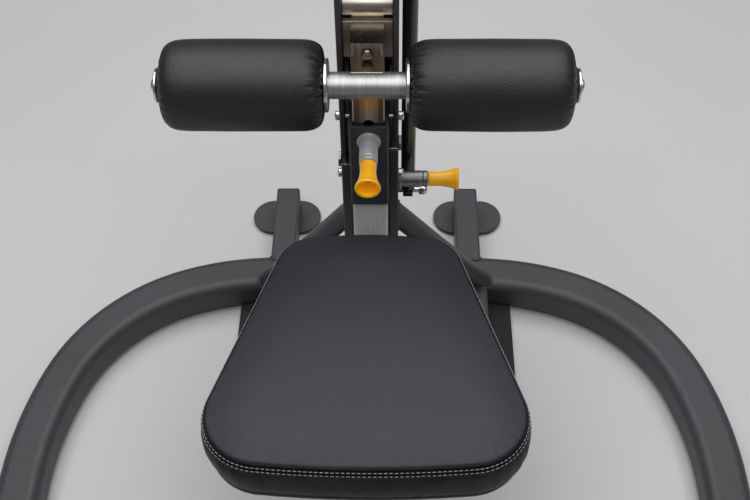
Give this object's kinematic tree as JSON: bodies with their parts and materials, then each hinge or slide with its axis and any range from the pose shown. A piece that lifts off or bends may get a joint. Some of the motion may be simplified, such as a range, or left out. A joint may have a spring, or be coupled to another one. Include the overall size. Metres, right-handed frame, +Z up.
{
  "type": "adjustable thigh hold-down bench",
  "caption": "Seated bench with a horseshoe base, plate mast, sliding padded seat and height-adjustable foam rollers that hold the thighs down, each locked by a spring plunger.",
  "frame": {"origin": "centre of the bounding box at floor level", "axes": "+Z up, +Y from the seat towards the mast, +X to the right of a person who sits facing the mast"},
  "size_m": [1.098, 0.984, 0.96],
  "materials": {
    "charcoal_paint": "fine-textured powder coat",
    "satin_chrome": "satin",
    "bright_steel": "bright plated",
    "zinc_plate": "turned, zinc plated",
    "black_enamel": "gloss",
    "black_plastic": "matte",
    "nylon": "natural nylon",
    "yellow_grip": "moulded, satin",
    "rubber": "matte",
    "seat_vinyl": "grained vinyl",
    "black_vinyl": "smooth vinyl",
    "plywood": "raw"
  },
  "bodies": {
    "frame": {"base_tube": "charcoal_paint", "arm_end_caps": "black_plastic", "base_feet": "rubber", "floor_plate": "charcoal_paint", "floor_plate_mat": "rubber", "hub_deck": "charcoal_paint", "hub_walls": "charcoal_paint", "rear_leg_left": "charcoal_paint", "rear_leg_right": "charcoal_paint", "rear_leg_caps": "black_plastic", "foot_plate_left": "charcoal_paint", "foot_plate_right": "charcoal_paint", "foot_pads": "rubber", "mast_plate_left": "charcoal_paint", "mast_plate_right": "charcoal_paint", "mast_back_plate": "charcoal_paint", "mast_top_cap": "black_plastic", "brace_left": "charcoal_paint", "brace_right": "charcoal_paint", "post_sleeve": "charcoal_paint", "mast_rail_left": "charcoal_paint", "mast_rail_right": "charcoal_paint", "rail_clips": "bright_steel", "sleeve_screws": "bright_steel", "seat_guide_left": "nylon", "seat_guide_right": "nylon", "front_plunger_barrel": "zinc_plate", "side_plunger_barrel": "zinc_plate", "plunger_springs": "bright_steel", "strut_cylinder": "black_enamel", "strut_lower_stud": "bright_steel"},
    "carriage": {"roller_post": "satin_chrome", "post_cap": "bright_steel", "bar_saddle": "satin_chrome", "post_bolt": "bright_steel", "roller_bar": "satin_chrome", "roller_discs": "satin_chrome", "bar_end_plugs": "black_plastic", "bar_end_bolts": "bright_steel", "guide_bracket": "satin_chrome", "guide_bar": "satin_chrome", "strut_hanger": "charcoal_paint", "strut_rod": "bright_steel", "strut_upper_stud": "bright_steel"},
    "roller_left": {"roller_pad_left": "black_vinyl", "roller_core_left": "black_plastic"},
    "roller_right": {"roller_pad_right": "black_vinyl", "roller_core_right": "black_plastic"},
    "seat": {"seat_slide_bar": "satin_chrome", "seat_leg": "satin_chrome", "seat_arm": "charcoal_paint", "seat_arm_cap": "black_plastic", "seat_plate": "charcoal_paint", "seat_board": "plywood", "seat_pad": "seat_vinyl", "seat_bolts": "bright_steel"},
    "front_plunger": {"front_plunger_pin": "bright_steel", "front_knob": "yellow_grip"},
    "side_plunger": {"side_plunger_pin": "bright_steel", "side_knob": "yellow_grip"}
  },
  "joints": [
    {"name": "roller_height", "type": "slide", "parent": "frame", "child": "carriage", "axis": [0, 0, 1], "range_m": [-0.025, 0.05]},
    {"name": "roller_left_spin", "type": "hinge", "parent": "carriage", "child": "roller_left", "pos_m": [-0.1478, 0.081, 0.65], "axis": [1, 0, 0], "continuous": true},
    {"name": "roller_right_spin", "type": "hinge", "parent": "carriage", "child": "roller_right", "pos_m": [0.1478, 0.081, 0.65], "axis": [1, 0, 0], "continuous": true},
    {"name": "seat_height", "type": "slide", "parent": "frame", "child": "seat", "axis": [0, 0, 1], "range_m": [-0.12, 0]},
    {"name": "front_plunger_pull", "type": "slide", "parent": "frame", "child": "front_plunger", "axis": [0, -1, 0], "range_m": [0, 0.012], "stiffness_N_per_m": 800, "springref_m": -0.004},
    {"name": "side_plunger_pull", "type": "slide", "parent": "frame", "child": "side_plunger", "axis": [1, 0, 0], "range_m": [0, 0.012], "stiffness_N_per_m": 800, "springref_m": -0.004}
  ]
}
